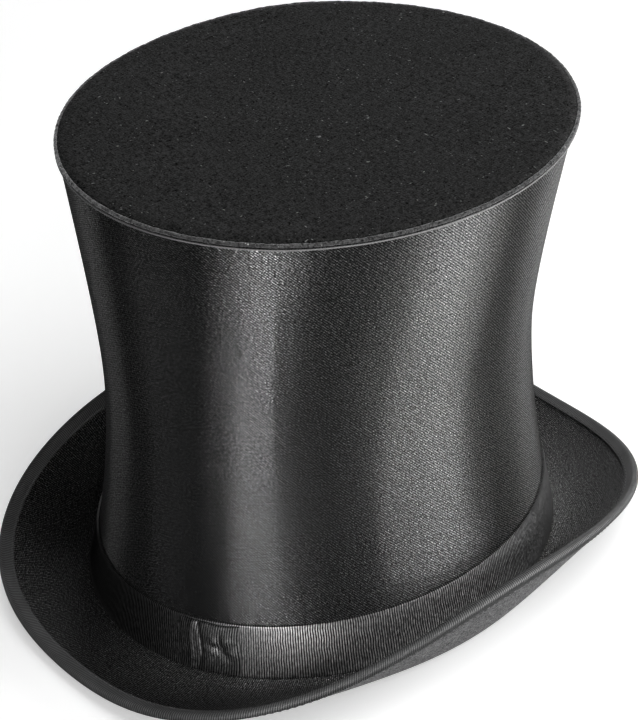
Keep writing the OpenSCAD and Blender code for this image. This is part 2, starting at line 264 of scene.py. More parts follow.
# ----------------------------------------------------------------- materials
class M:
    """A small builder for node materials."""

    def __init__(self, name):
        self.m = bpy.data.materials.new(name)
        self.m.use_nodes = True
        self.nt = self.m.node_tree
        self.b = self.nt.nodes["Principled BSDF"]

    def n(self, kind, **props):
        node = self.nt.nodes.new(kind)
        for k, v in props.items():
            setattr(node, k, v)
        return node

    def put(self, sock, v):
        if hasattr(v, "is_output") or isinstance(v, bpy.types.NodeSocket):
            self.nt.links.new(v, sock)
        else:
            sock.default_value = v

    def math(self, op, a, b=0.0, c=None):
        k = self.n("ShaderNodeMath", operation=op)
        self.put(k.inputs[0], a)
        self.put(k.inputs[1], b)
        if c is not None:
            self.put(k.inputs[2], c)
        return k.outputs[0]

    def remap(self, v, a, b, lo=0.0, hi=1.0):
        k = self.n("ShaderNodeMapRange", clamp=True)
        for i, x in enumerate([v, lo, hi, a, b]):
            self.put(k.inputs[i], x)
        return k.outputs[0]

    def uv(self):
        k = self.n("ShaderNodeUVMap")
        k.uv_map = "cloth"
        return k.outputs[0]

    def obj(self):
        return self.n("ShaderNodeTexCoord").outputs["Object"]

    def dot(self, vec, xyz):
        k = self.n("ShaderNodeVectorMath", operation="DOT_PRODUCT")
        self.put(k.inputs[0], vec)
        k.inputs[1].default_value = xyz
        return k.outputs["Value"]

    def scaled(self, vec, xyz):
        k = self.n("ShaderNodeVectorMath", operation="MULTIPLY")
        self.put(k.inputs[0], vec)
        k.inputs[1].default_value = xyz
        return k.outputs[0]

    def noise(self, vec, scale, detail=3.0, rough=0.55):
        k = self.n("ShaderNodeTexNoise")
        self.put(k.inputs["Vector"], vec)
        k.inputs["Scale"].default_value = scale
        k.inputs["Detail"].default_value = detail
        k.inputs["Roughness"].default_value = rough
        return k.outputs["Fac"]

    def wave(self, vec, pitch, angle, warp=0.0):
        """Lines at this angle (degrees) from the U axis, this far apart: 0 to 1."""
        a = math.radians(angle)
        k = 2 * PI / pitch
        v = self.dot(vec, (-math.sin(a) * k, math.cos(a) * k, 0.0))
        if not isinstance(warp, float):
            v = self.math("ADD", v, warp)
        return self.math("MULTIPLY_ADD", self.math("SINE", v), 0.5, 0.5)

    def bump(self, height, dist, strength=1.0, normal=None):
        k = self.n("ShaderNodeBump")
        self.put(k.inputs["Height"], height)
        k.inputs["Distance"].default_value = dist
        k.inputs["Strength"].default_value = strength
        if normal is not None:
            self.put(k.inputs["Normal"], normal)
        return k.outputs[0]

    def grey(self, v, tint=(1.0, 1.0, 1.0)):
        k = self.n("ShaderNodeCombineColor")
        for i in range(3):
            self.put(k.inputs[i], self.math("MULTIPLY", v, tint[i]))
        return k.outputs[0]

    def mixc(self, f, a, b):
        k = self.n("ShaderNodeMix", data_type="RGBA")
        self.put(k.inputs[0], f)
        self.put(k.inputs[6], a)
        self.put(k.inputs[7], b)
        return k.outputs[2]

    def set(self, **kw):
        for k, v in kw.items():
            self.put(self.b.inputs[k.replace("_", " ")], v)
        return self


COOL = (0.985, 0.99, 1.0)


def satin(name, dark=0.006, light=0.020, rough=0.50, aniso=0.85, turn=0.25, spec=0.55, pitch=0.95, angle=-45.0, sheen=0.04, depth=0.00010, sheen_r=0.5, low=0.06, high=2.1, grain=1.0, foot=1.0):
    m = M(name)
    uv = m.uv()
    w = m.math("MULTIPLY", m.math("SUBTRACT", m.noise(m.scaled(uv, (0.35, 0.12, 1)), 1.0, 2.0), 0.5), 2.2)
    w = m.math("ADD", w, m.math("MULTIPLY", m.math("SUBTRACT", m.noise(uv, 0.8, 1.0), 0.5), 1.6))
    twill = m.math("POWER", m.wave(uv, pitch, angle, w), 1.8)
    dash = m.math("MULTIPLY_ADD", m.wave(uv, pitch * 0.9, angle + 108.0, w), 0.55, 0.45)
    speck = m.remap(m.noise(uv, 1.55 * grain, 2.0, 0.7), 0.0, 1.0, 0.34, 0.66)
    coarse = m.remap(m.noise(m.scaled(uv, (1.0, 0.4, 1)), 0.9 * grain, 2.0), 0.0, 1.0, 0.3, 0.7)
    cross = m.math("POWER", m.wave(uv, pitch * 0.8, angle + 78.0, w), 2.0)
    thread = m.math("MULTIPLY_ADD", cross, 0.34, m.math("MULTIPLY", m.math("MULTIPLY", twill, dash), 0.78))
    glint = m.math("MULTIPLY", thread, m.math("ADD", m.math("MULTIPLY_ADD", m.math("POWER", speck, 1.5), 2.2, 0.03), m.math("MULTIPLY", coarse, 0.45)))
    slub = m.noise(m.scaled(uv, (0.9, 0.05, 1)), 1.0, 3.0)
    cloud = m.noise(uv, 0.035, 3.0)
    val = m.remap(glint, dark, light, 0.0, 0.9)
    val = m.math("MULTIPLY", val, m.remap(cloud, 0.82, 1.18, 0.3, 0.7))
    lint = m.math("MULTIPLY", m.remap(m.noise(uv, 0.55, 1.0), 0.0, 1.0, 0.765, 0.80), 0.05)
    val = m.math("ADD", val, lint)
    r = m.math("ADD", m.remap(glint, rough + 0.06, rough - 0.05, 0.0, 0.9), m.math("MULTIPLY", m.math("SUBTRACT", slub, 0.5), 0.10))
    s = m.math("MULTIPLY", m.math("MULTIPLY_ADD", m.math("POWER", glint, 1.5), high * 1.35, low), m.math("MULTIPLY", m.remap(slub, 0.85, 1.15, 0.3, 0.7), spec))
    spark = m.remap(m.noise(uv, 1.15 * grain, 1.0, 0.6), 0.28, 1.85, 0.34, 0.68)
    s = m.math("MULTIPLY", s, spark)
    # painted shade: the sheen falls to foot times its strength at 10 mm up and rises to full strength at 165 mm,
    # standing in for less light on the crown's lower part
    if foot < 1.0:
        s = m.math("MULTIPLY", s, m.remap(m.dot(m.obj(), (0, 0, 1)), foot, 1.0, 0.010, 0.165))
    tg = m.n("ShaderNodeTangent", direction_type="UV_MAP")
    tg.uv_map = "cloth"
    h = m.math("ADD", m.math("MULTIPLY", twill, dash), m.math("MULTIPLY", slub, 0.4))
    m.set(Base_Color=m.grey(val, COOL), Roughness=r, Specular_IOR_Level=s, Anisotropic=aniso, Anisotropic_Rotation=turn,
          Tangent=tg.outputs[0], Normal=m.bump(h, depth, 0.8), Sheen_Weight=sheen, Sheen_Roughness=sheen_r)
    return m.m


def nap(name, base=0.019, fuzz=0.35, scale=1.0, lint=0.16, tint=0.12):
    """Matte napped cloth with short crossed hairs and specks of lint."""
    m = M(name)
    p = m.scaled(m.obj(), (1000, 1000, 1000))
    a = m.noise(p, 1.7 * scale, 3.0, 0.6)
    hair1 = m.noise(m.scaled(p, (0.5, 2.2, 1.0)), 0.8, 2.0)
    hair2 = m.noise(m.scaled(p, (2.2, 0.5, 1.0)), 0.8, 2.0)
    cloud = m.noise(p, 0.02, 3.0)
    t = m.math("ADD", m.math("MULTIPLY", a, 0.5), m.math("MULTIPLY", m.math("ADD", hair1, hair2), 0.25))
    val = m.math("MULTIPLY", m.remap(t, base * 0.25, base * 2.2, 0.40, 0.62), m.remap(cloud, 0.85, 1.15, 0.3, 0.7))
    l1 = m.remap(m.noise(m.scaled(p, (1.0, 0.35, 1)), 0.9, 1.0), 0.0, 1.0, 0.76, 0.80)
    l2 = m.remap(m.noise(m.scaled(p, (0.3, 1.1, 1)), 0.8, 1.0), 0.0, 1.0, 0.77, 0.81)
    l3 = m.remap(m.noise(p, 1.1, 0.5), 0.0, 1.0, 0.76, 0.82)
    val = m.math("ADD", val, m.math("MULTIPLY", m.math("MAXIMUM", m.math("MAXIMUM", l1, l2), l3), lint))
    m.set(Base_Color=m.grey(val, (1, 1, 1)), Roughness=0.95, Specular_IOR_Level=m.remap(t, 0.0, 0.14, 0.40, 0.60), Sheen_Weight=m.math("MULTIPLY", m.remap(t, 0.3, 1.7, 0.40, 0.60), fuzz), Sheen_Roughness=0.5,
          Normal=m.bump(t, 0.00022, 0.8))
    m.b.inputs["Sheen Tint"].default_value = (tint, tint, tint * 1.02, 1)
    return m.m


def grosgrain(name, dark=0.0006, light=0.006, pitch=1.0, rough=0.42, spec=0.60, geo=False, aniso=0.6, turn=0.25, sheen=0.0):
    m = M(name)
    uv = m.uv()
    rib = m.wave(uv, pitch, 90.0)
    thread = m.wave(uv, 0.38, 0.0)
    spk = m.noise(m.scaled(uv, (0.9, 0.35, 1)), 1.6, 2.0)
    cloud = m.noise(uv, 0.06, 3.0)
    t = m.math("ADD", m.math("MULTIPLY", m.math("POWER", rib, 1.4), 0.75), m.math("MULTIPLY", spk, 0.3))
    val = m.math("MULTIPLY", m.remap(t, dark, light, 0.12, 0.95), m.remap(cloud, 0.8, 1.2, 0.3, 0.7))
    tg = m.n("ShaderNodeTangent", direction_type="UV_MAP")
    tg.uv_map = "cloth"
    hh = m.math("ADD", m.math("MULTIPLY", rib, 0.25 if geo else 1.0), m.math("MULTIPLY", m.math("ADD", thread, spk), 0.15))
    m.set(Base_Color=m.grey(val, COOL), Roughness=m.remap(spk, rough - 0.05, rough + 0.12, 0.3, 0.7), Specular_IOR_Level=m.math("MULTIPLY", m.remap(m.math("POWER", rib, 1.6), spec * 0.06, spec * 1.9), m.remap(spk, 0.5, 1.5, 0.3, 0.7)),
          Anisotropic=aniso, Anisotropic_Rotation=turn, Tangent=tg.outputs[0], Normal=m.bump(hh, 0.00010, 0.8), Sheen_Weight=sheen, Sheen_Roughness=0.4)
    return m.m


def leather(name, col=(0.16, 0.085, 0.045), rough=0.42):
    m = M(name)
    p = m.scaled(m.obj(), (1000, 1000, 1000))
    vor = m.n("ShaderNodeTexVoronoi", feature="DISTANCE_TO_EDGE")
    m.put(vor.inputs["Vector"], p)
    vor.inputs["Scale"].default_value = 0.9
    crack = m.remap(vor.outputs["Distance"], 0.0, 1.0, 0.0, 0.12)
    cloud = m.noise(p, 0.05, 4.0)
    fine = m.noise(p, 2.5, 3.0)
    c1 = tuple(x * 0.62 for x in col) + (1,)
    c2 = tuple(x * 1.2 for x in col) + (1,)
    c = m.mixc(m.math("MULTIPLY", crack, m.remap(cloud, 0.5, 1.0, 0.3, 0.7)), c1, c2)
    m.set(Base_Color=c, Roughness=m.remap(cloud, rough - 0.08, rough + 0.15, 0.3, 0.7), Specular_IOR_Level=0.45,
          Normal=m.bump(m.math("ADD", crack, m.math("MULTIPLY", fine, 0.4)), 0.00012, 0.7))
    return m.m


def steel(name, col=(0.42, 0.42, 0.44), rough=0.34, spots=0.35, stretch=(1, 1, 0.06)):
    m = M(name)
    p = m.scaled(m.obj(), (1000, 1000, 1000))
    brush = m.noise(m.scaled(p, stretch), 2.0, 4.0)
    blot = m.noise(p, 0.16, 4.0, 0.65)
    fine = m.noise(p, 1.4, 3.0)
    f = m.math("MULTIPLY", m.remap(m.math("ADD", m.math("MULTIPLY", blot, 0.75), m.math("MULTIPLY", fine, 0.25)), 0.0, 1.0, 0.52, 0.68), spots)
    c = m.mixc(f, tuple(col) + (1,), (0.075, 0.055, 0.042, 1))
    c2 = m.mixc(m.remap(brush, 0.0, 0.35, 0.35, 0.65), c, tuple(x * 0.7 for x in col) + (1,))
    m.set(Base_Color=c2, Metallic=m.remap(f, 1.0, 0.45), Roughness=m.math("ADD", m.remap(brush, rough - 0.06, rough + 0.1, 0.3, 0.7), m.math("MULTIPLY", f, 0.3)),
          Normal=m.bump(m.math("ADD", brush, m.math("MULTIPLY", f, 0.5)), 0.00004, 0.5))
    return m.m


def board(name, col=(0.21, 0.17, 0.12)):
    """Muslin board stiffened with shellac: an open woven grid under a thin uneven glaze."""
    m = M(name)
    p = m.scaled(m.obj(), (1000, 1000, 1000))
    a = m.wave(p, 1.1, 0.0)
    b = m.wave(p, 1.1, 90.0)
    g = m.math("MAXIMUM", a, b)
    cloud = m.noise(p, 0.04, 4.0)
    c = m.mixc(m.math("MULTIPLY", g, m.remap(cloud, 0.5, 1.0, 0.3, 0.7)), tuple(x * 0.5 for x in col) + (1,), tuple(col) + (1,))
    m.set(Base_Color=c, Roughness=m.remap(cloud, 0.45, 0.75, 0.3, 0.7), Normal=m.bump(g, 0.00015, 0.7))
    return m.m


def cord(name, val=0.09, rough=0.45):
    m = M(name)
    p = m.scaled(m.obj(), (1000, 1000, 1000))
    a = m.noise(p, 2.2, 3.0)
    m.set(Base_Color=m.grey(m.remap(a, val * 0.45, val * 1.5, 0.3, 0.7), COOL), Roughness=rough, Specular_IOR_Level=0.5, Sheen_Weight=0.1,
          Normal=m.bump(a, 0.0001, 0.5))
    return m.m


# foot=0.40 paints shade into the side satin: its sheen is weaker toward the crown's foot
MAT_SIDE = satin("side_satin", dark=0.003, light=0.022, rough=0.47, aniso=0.98, spec=0.29, sheen=0.0, depth=0.00004, pitch=0.82, foot=0.40)
MAT_BRIM = satin("brim_satin", dark=0.0008, light=0.013, rough=0.46, aniso=0.7, turn=0.25, spec=0.56, pitch=0.9, angle=86.0, depth=0.00016, sheen=0.0)
MAT_TIP = nap("tip_cloth", base=0.0062, fuzz=0.12, lint=0.11)
# painted sheen: the rolled edge is the tip's black napped cloth made about seven times lighter and given a pale sheen,
# standing in for the light along the roll
MAT_ROLL = nap("tip_roll_cloth_painted_sheen", base=0.045, fuzz=0.9, lint=0.40, tint=0.5, scale=0.8)
MAT_UNDER = nap("under_cloth", base=0.085, fuzz=0.6, lint=0.10, tint=0.35)
MAT_RIBBON = grosgrain("hat_ribbon_grosgrain", geo=True)
MAT_JOIN = grosgrain("ribbon_join_grosgrain", spec=0.34, rough=0.5, aniso=0.3, geo=True)
MAT_TAPE = grosgrain("binding_grosgrain", dark=0.03, light=0.085, pitch=0.9, rough=0.55, spec=0.16, geo=True, aniso=0.2)
MAT_LINING = satin("lining_satin", dark=0.012, light=0.035, rough=0.5, aniso=0.5, spec=0.5, pitch=0.7, angle=90.0, depth=0.00005, sheen=0.1)
MAT_LEATHER = leather("sweatband_leather")
MAT_REED = leather("reed_leather", (0.07, 0.04, 0.028), 0.5)
# painted highlight: the welt cord is set grey, lighter than the black cloth round it, standing in for the thin
# highlight along the cord
MAT_WELT = cord("welt_thread_painted_highlight", 0.055, 0.6)
MAT_STITCH = cord("stitch_thread", 0.012, 0.7)
MAT_TAN = cord("tan_thread", 0.28, 0.6)
MAT_BOW = satin("bow_satin", dark=0.01, light=0.035, rough=0.42, pitch=0.55, angle=90.0, sheen=0.1)
MAT_ARM = steel("arm_steel_brushed")
MAT_HOOP = steel("hoop_steel_black", (0.13, 0.13, 0.14), 0.4, 0.45, (0.06, 0.06, 1))
MAT_SPRING = steel("spring_steel_bright", (0.55, 0.56, 0.58), 0.25, 0.15, (1, 1, 1))
MAT_BRASS = steel("pin_brass_aged", (0.52, 0.37, 0.16), 0.3, 0.3, (1, 1, 1))
MAT_BOARD = board("shellac_board")

for node, mat in (
    [(f"{a}_arm_{k}", MAT_ARM) for a in ("lower", "upper") for k in range(1, 5)]
    + [(f"elbow_pin_{k}", MAT_BRASS) for k in range(1, 5)]
    + [(f"elbow_spring_{k}", MAT_SPRING) for k in range(1, 5)]
    + [("base_pivot_pins", MAT_BRASS), ("tip_pivot_pins", MAT_BRASS), ("base_rivets", MAT_BRASS), ("tip_rivets", MAT_BRASS),
       ("base_hoop", MAT_HOOP), ("tip_hoop", MAT_HOOP), ("base_brackets", MAT_ARM), ("tip_brackets", MAT_ARM),
       ("brim_core", MAT_BOARD), ("tip_board", MAT_BOARD), ("brim_edge_wire", MAT_HOOP)]
):
    me = frame["nodes"][node].data
    if not me.materials:
        me.materials.append(mat)
    for i in range(len(me.materials)):
        me.materials[i] = mat

# ----------------------------------------------------------------- crown side: one cloth in three lengths
N = 480
T = np.arange(N) * 2 * PI / N
DEG = np.degrees(T)
RING0 = side(T, 60.0, 0.0)
U_SIDE = arc_len(RING0)
SPLIT_LOW, SPLIT_TOP = 30.0, 164.6


def tip_corner(deg):
    out = np.full_like(deg, -0.35)
    for c, w, h in ((45, 9, 0.2), (150, 14, 1.3), (190, 20, -0.8), (104, 26, -0.9), (230, 30, -0.7), (315, 7, 0.25)):
        out += h * np.exp(-(wrapdeg(deg - c) / w) ** 2)
    return out


def side_relief(t, z):
    """How far the taut cloth stands out (mm): soft ridges over the arms, faint tension flutes, puckers at the seams."""
    t, z = np.broadcast_arrays(t, z)
    deg = np.degrees(t)
    out = np.zeros_like(z)
    for k, c in enumerate((PSI, 180 - PSI, 180 + PSI, 360 - PSI)):
        centre = math.degrees(math.atan2(math.sin(math.radians(c)) / BASE[1], math.cos(math.radians(c)) / BASE[0]))
        a = wrapdeg(deg - centre + (1.7 if k == 3 else 1.0)) * 1.55
        along = 1 / (1 + np.exp(-(z - 96) / 14.0)) * 1 / (1 + np.exp((z - 174) / 5.0))
        out += (0.85 if k == 3 else 0.50) * np.exp(-np.sqrt(a * a + 0.2) / 10.0) * along
    flute = noise1(t, 2 * PI, 4) * 0.30 + np.sin(13 * t + z / 55.0) * 0.10 + np.sin(29 * t - z / 38.0 + 1.0) * 0.05
    mid = np.clip(np.sin(np.clip((z - 6) / (CROWN_H - 12), 0, 1) * PI), 0, 1)
    out += flute * (0.25 + 0.75 * mid)
    out += 0.10 * np.sin(97 * t + 1.3 * np.sin(5 * t)) * np.exp(-np.clip(CROWN_H - 2 - z, 0, None) / 5.0)
    out += 0.06 * np.sin(83 * t + 1.1 * np.sin(7 * t)) * np.exp(-np.abs(z - RIBBON_H) / 4.0)
    out -= 0.22 * np.exp(-np.abs(z - RIBBON_H - 0.4) / 2.2)
    out += tip_corner(deg) * np.exp(-np.abs(CROWN_H - z) / 26.0)
    return out


def cloth_shell(name, z0, z1, d0, d1, mat, step=1.6, relief=side_relief, inner_relief=True):
    zs = np.linspace(z0, z1, max(3, int(round((z1 - z0) / step)) + 1))
    tt = T[:, None]
    outer = side(tt, zs[None, :], d0 - relief(tt, zs[None, :]))
    zi = zs
    inner = side(tt, zi[None, ::-1], d1 - (relief(tt, zi[None, ::-1]) if inner_relief else 0.0))
    P = np.concatenate([outer, inner], 1)
    V = np.concatenate([zs, zs[::-1]])
    return sweep(name, P, mat, U_SIDE, V)


def split_cloth(base, z0, z1, d0, d1, mat, nodes, relief=side_relief):
    """The cloth's foot and the length between stay with the brim, its head goes with the tip, and the length between
    gets a mesh of its own.
    """
    low = cloth_shell(base + "_low", z0, SPLIT_LOW, d0, d1, mat, relief=relief)
    mid = cloth_shell(base + "_mid", SPLIT_LOW, SPLIT_TOP, d0, d1, mat, relief=relief)
    top = cloth_shell(base + "_top", SPLIT_TOP, z1, d0, d1, mat, relief=relief)
    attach(low, "brim")
    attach(mid, "brim")
    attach(top, "tip")
    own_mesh(mid)
    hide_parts(*nodes)
    return low, mid, top


side_parts = split_cloth("side_satin", 0.15, CROWN_H - 2.2, 0.0, 0.7, MAT_SIDE, ["side_cover"])


def lining_relief(t, z):
    t, z = np.broadcast_arrays(t, z)
    return side_relief(t, z) * 0.8 + 0.0 * z


lining_parts = split_cloth("side_lining_cloth", 0.15, CROWN_H - 2.6, 0.85, 1.3, MAT_LINING, ["side_lining"], relief=lining_relief)

# ----------------------------------------------------------------- tip
def tip_tilt(x, y):
    return -0.006 * x - 0.007 * y


def tip_mesh():
    n, nr = 480, 74
    t = np.arange(n) * 2 * PI / n
    deg = np.degrees(t)
    corner = tip_corner(deg)
    # outline: flat top, rolled rim, turned down to the seam, and back underneath
    rim = [(-6.0, 0.0), (-4.2, -0.03), (-2.9, -0.12), (-1.9, -0.32), (-1.1, -0.62), (-0.45, -1.0), (0.05, -1.45), (0.38, -1.95), (0.5, -2.4), (0.3, -2.62), (-0.6, -2.6), (-2.2, -2.2)]
    rows = []
    for f in np.linspace(0.012, 1, nr):
        a, b = (TIP[0] - 6.0) * f, (TIP[1] - 6.0) * f
        x, y = a * np.cos(t), b * np.sin(t)
        lump = 0.10 * np.sin(x / 17.0 + 1) * np.cos(y / 21.0) + 0.07 * np.sin(x / 7.3 - y / 9.1) + 0.05 * np.sin(x / 4.1 + y / 5.3 + 2)
        sag = -0.55 * (1 - f ** 2)
        z = top_z + sag + lump * min(1, 1.4 * (1 - f) + 0.15)
        rows.append(np.stack([x, y, z], -1))
    for i, (dr, dz) in enumerate(rim[1:]):
        k = (i + 1) / len(rim)
        a, b = TIP[0] + dr + corner * min(1, k * 2), TIP[1] + dr + corner * min(1, k * 2)
        pucker = 0.10 * np.sin(71 * t + 1.5 * np.sin(3 * t)) * k
        rows.append(np.stack([(a + pucker) * np.cos(t), (b + pucker) * np.sin(t), top_z + dz + 0 * t], -1))
    # underside back to the middle
    for f in (0.9, 0.6, 0.3, 0.012):
        a, b = (TIP[0] - 2.2) * f, (TIP[1] - 2.2) * f
        rows.append(np.stack([a * np.cos(t), b * np.sin(t), top_z - 2.05 + 0 * t], -1))
    P = np.array(rows).transpose(1, 0, 2)
    P[..., 2] += tip_tilt(P[..., 0], P[..., 1])
    m = P.shape[1]
    verts = P.reshape(-1, 3)
    I, J = np.meshgrid(np.arange(n), np.arange(m - 1), indexing="ij")
    I2 = (I + 1) % n
    quads = np.stack([I * m + J, I2 * m + J, I2 * m + J + 1, I * m + J + 1], -1).reshape(-1, 4).tolist()
    verts = np.concatenate([verts, [[0, 0, P[:, 0, 2].mean()], [0, 0, P[:, -1, 2].mean()]]])
    c0, c1 = len(verts) - 2, len(verts) - 1
    quads += [[c0, ((i + 1) % n) * m, i * m] for i in range(n)]
    quads += [[c1, i * m + m - 1, ((i + 1) % n) * m + m - 1] for i in range(n)]
    ob = link("tip_cloth_disc", verts, quads, MAT_TIP)
    fix_normals(ob)
    return ob


tip = tip_mesh()
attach(tip, "tip")
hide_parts("tip_cover")


def rope(name, path, r, mat, plies=2, turns=400, sides=10, depth=0.22):
    """Twisted thread along a closed path (n, 3) in mm."""
    n = len(path)
    tan = np.roll(path, -1, 0) - np.roll(path, 1, 0)
    tan /= np.linalg.norm(tan, axis=1)[:, None]
    out = path.copy()
    out[:, 2] = 0
    out /= np.linalg.norm(out, axis=1)[:, None]
    out -= (out * tan).sum(1)[:, None] * tan
    out /= np.linalg.norm(out, axis=1)[:, None]
    up = np.cross(tan, out)
    a = np.arange(sides) * 2 * PI / sides
    ph = np.arange(n) * turns * 2 * PI / n
    rad = r * (1 + depth * np.cos(plies * (a[None, :] - ph[:, None] / plies)))
    P = path[:, None] + rad[..., None] * (np.cos(a)[None, :, None] * out[:, None] + np.sin(a)[None, :, None] * up[:, None])
    ob = sweep(name, P, mat)
    return ob


n = 2600
t = np.arange(n) * 2 * PI / n
cc = tip_corner(np.degrees(t))
path = np.stack([(TIP[0] + 0.42 + cc) * np.cos(t), (TIP[1] + 0.42 + cc) * np.sin(t), top_z - 3.05 + 0 * t], -1)
path[:, 2] += tip_tilt(path[:, 0], path[:, 1])
welt = rope("tip_welt_cord", path, 0.34, MAT_WELT, turns=520)
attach(welt, "tip")
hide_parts("tip_welt")

# the rolled edge above the welt, in the lightened cloth that paints its sheen
path = np.stack([(TIP[0] + 0.15 + cc) * np.cos(t), (TIP[1] + 0.15 + cc) * np.sin(t), top_z - 1.45 + 0.06 * np.sin(40 * t) + 0.04 * np.sin(113 * t)], -1)
path[:, 2] += tip_tilt(path[:, 0], path[:, 1])
roll = rope("tip_rolled_edge", path, 0.72, MAT_ROLL, plies=1, turns=170, depth=0.05, sides=14)
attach(roll, "tip")

# tip lining: a disc of satin with faint radial gathers, inside the tip hoop
def disc(name, a0, b0, z, mat, wave, thick=0.5, n=360, nr=30):
    t = np.arange(n) * 2 * PI / n
    rows = []
    fs = np.linspace(0.01, 1, nr)
    for f in fs:
        rows.append(np.stack([a0 * f * np.cos(t), b0 * f * np.sin(t), z + wave(t, f)], -1))
    for f in fs[::-1]:
        rows.append(np.stack([a0 * f * np.cos(t), b0 * f * np.sin(t), z + thick + wave(t, f)], -1))
    P = np.array(rows).transpose(1, 0, 2)
    ob = sweep_open_disc(name, P, mat, t, a0)
    return ob


def sweep_open_disc(name, P, mat, t, a0):
    n, m = P.shape[:2]
    verts = P.reshape(-1, 3)
    I, J = np.meshgrid(np.arange(n), np.arange(m - 1), indexing="ij")
    I2 = (I + 1) % n
    quads = np.stack([I * m + J, I2 * m + J, I2 * m + J + 1, I * m + J + 1], -1).reshape(-1, 4).tolist()
    verts = np.concatenate([verts, [[0, 0, P[:, 0, 2].mean()], [0, 0, P[:, -1, 2].mean()]]])
    c0, c1 = len(verts) - 2, len(verts) - 1
    quads += [[c0, ((i + 1) % n) * m, i * m] for i in range(n)]
    quads += [[c1, i * m + m - 1, ((i + 1) % n) * m + m - 1] for i in range(n)]
    uv = []
    for f in quads:
        for v in f:
            uv.append((verts[v][0], verts[v][1]))
    ob = link(name, verts, quads, mat, uv)
    fix_normals(ob)
    return ob


lo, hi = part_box("tip_lining")
tl = disc("tip_lining_cloth", hi.x / MM, hi.y / MM, lo.z / MM - 0.3, MAT_LINING,
          lambda t, f: (0.22 * np.sin(46 * t + 3 * np.sin(2 * t)) * f ** 2 - 0.5 * (1 - f ** 2)), 0.45)
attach(tl, "tip")
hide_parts("tip_lining")

# ----------------------------------------------------------------- hat ribbon, with real ribs
def ribbed(n_ribs, per=5):
    n = n_ribs * per
    t = np.arange(n) * 2 * PI / n
    return n, t


def ribbon_mesh():
    n, t = ribbed(606)
    P0 = side(t, 10.0, 0.0)
    u = arc_len(P0)
    zs = np.array([0.15, 0.55, 1.2, 4, 8, 12, 16, 20, 21.2, 21.6, 22.0])
    edge = np.array([0.0, 0.25, 0.25, 1, 1, 1, 1, 1, 0.25, 0.25, 0.0])
    puff = np.array([0.0, 0.15, 0.18, 0.10, 0.05, 0.02, 0.01, 0.02, 0.02, 0.0, -0.05])
    rib = 0.5 + 0.5 * np.cos(u * 2 * PI / (u[-1] / 606.0))
    rib = 0.5 + 0.5 * np.cos(np.arange(n) * 2 * PI / 5)
    kink = 0.0018 * np.sin(zs * 0.9)[None, :] * np.sin(17 * t)[:, None]
    bow = 0.16 * noise1(t, 2 * PI, 9)[:, None] * np.exp(-((zs - 22) / 9.0) ** 2)[None, :]
    tt = t[:, None] + kink
    d_out = -(0.15 + RIBBON_T) - 0.10 * rib[:, None] * edge[None, :] - puff[None, :] - bow * 0.6
    outer = side(tt, zs[None, :], d_out)
    zi = zs[::-1][[0, 3, 7, 10]]
    inner = side(tt[:, [10, 7, 3, 0]], zi[None, :], -0.12 + 0 * tt[:, :4])
    P = np.concatenate([outer, inner], 1)
    V = np.concatenate([zs, zi])
    u = np.arange(n) * (1.0 / 5)
    ob = sweep("hat_ribbon_grosgrain", P, MAT_RIBBON, u, V)
    return ob


ribbon = ribbon_mesh()
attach(ribbon, "brim")
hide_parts("hat_ribbon")


def ribbon_tack():
    """The ribbon's end: folded under, laid over the join, and gathered by a few stitches near its right side."""
    nu, nv = 150, 90
    t0, t1 = math.radians(-72.5), math.radians(-56.5)
    u = np.linspace(0, 1, nu)
    v = np.linspace(0, 1, nv)
    uu, vv = np.meshgrid(u, v, indexing="ij")
    sx, sz = 0.70, 0.52
    dx, dz = (uu - sx) * 1.25, vv - sz
    r = np.hypot(dx, dz)
    ang = np.arctan2(dz, dx)
    fold = np.cos(5 * ang + 1.4) * np.exp(-((r - 0.2) / 0.14) ** 2) * 0.20 + np.cos(3 * ang + 0.6) * np.exp(-((r - 0.4) / 0.2) ** 2) * 0.14
    body = 1.15 * np.power(np.clip(np.sin(PI * np.clip(uu, 0.0, 1.0)), 0, 1), 0.35) * np.power(np.clip(np.sin(PI * vv), 0, 1), 0.25)
    pinch = -1.0 * np.exp(-((dx / 0.13) ** 2 + (dz / 0.10) ** 2)) - 0.35 * np.exp(-((dx / 0.05) ** 2 + (dz / 0.24) ** 2))
    crease = -0.35 * np.exp(-((uu - 0.30 - 0.10 * np.sin(3 * vv)) / 0.035) ** 2) + 0.30 * np.exp(-((uu - 0.22) / 0.05) ** 2)
    rib = 0.5 + 0.5 * np.cos(uu * 2 * PI * 26)
    h = 0.35 + np.clip(body + fold + pinch + crease, 0.05, None) + 0.11 * rib
    h = h * np.clip(np.minimum(uu, 1 - uu) / 0.02, 0, 1) ** 0.5 + 0.12
    zz = 0.6 + (RIBBON_H - 1.0) * vv + 0.5 * np.sin(PI * vv) * (uu - 0.5) - 0.4 * np.exp(-(dx / 0.2) ** 2) * (vv - 0.5) * 2
    tt = t0 + (t1 - t0) * (uu + 0.02 * np.sin(2 * PI * vv))
    front = side(tt, zz, -(RIBBON_T + 0.35) - h)
    back = side(tt, zz, -(RIBBON_T + 0.32))
    P = np.concatenate([front, back[:, ::-1]], 1)
    U = u * 26
    V = np.concatenate([v * 21, v[::-1] * 21])
    ob = sweep("ribbon_join_gathered", P, MAT_JOIN, U, V, closed=False)
    return ob


tack = ribbon_tack()
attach(tack, "brim")
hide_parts("ribbon_join")

# ----------------------------------------------------------------- brim covers
def mouth(t, d, inset=3.5):
    t, d = np.broadcast_arrays(np.asarray(t, float), d)
    return np.stack([(BASE[0] - inset) * np.cos(t), (BASE[1] - inset) * np.sin(t), BRIM_T + d], -1)


def brim_warp(t, v):
    return (0.22 * np.sin(3 * t + 0.6) + 0.14 * np.sin(7 * t + 2.0) + 0.08 * np.sin(15 * t)) * v ** 2


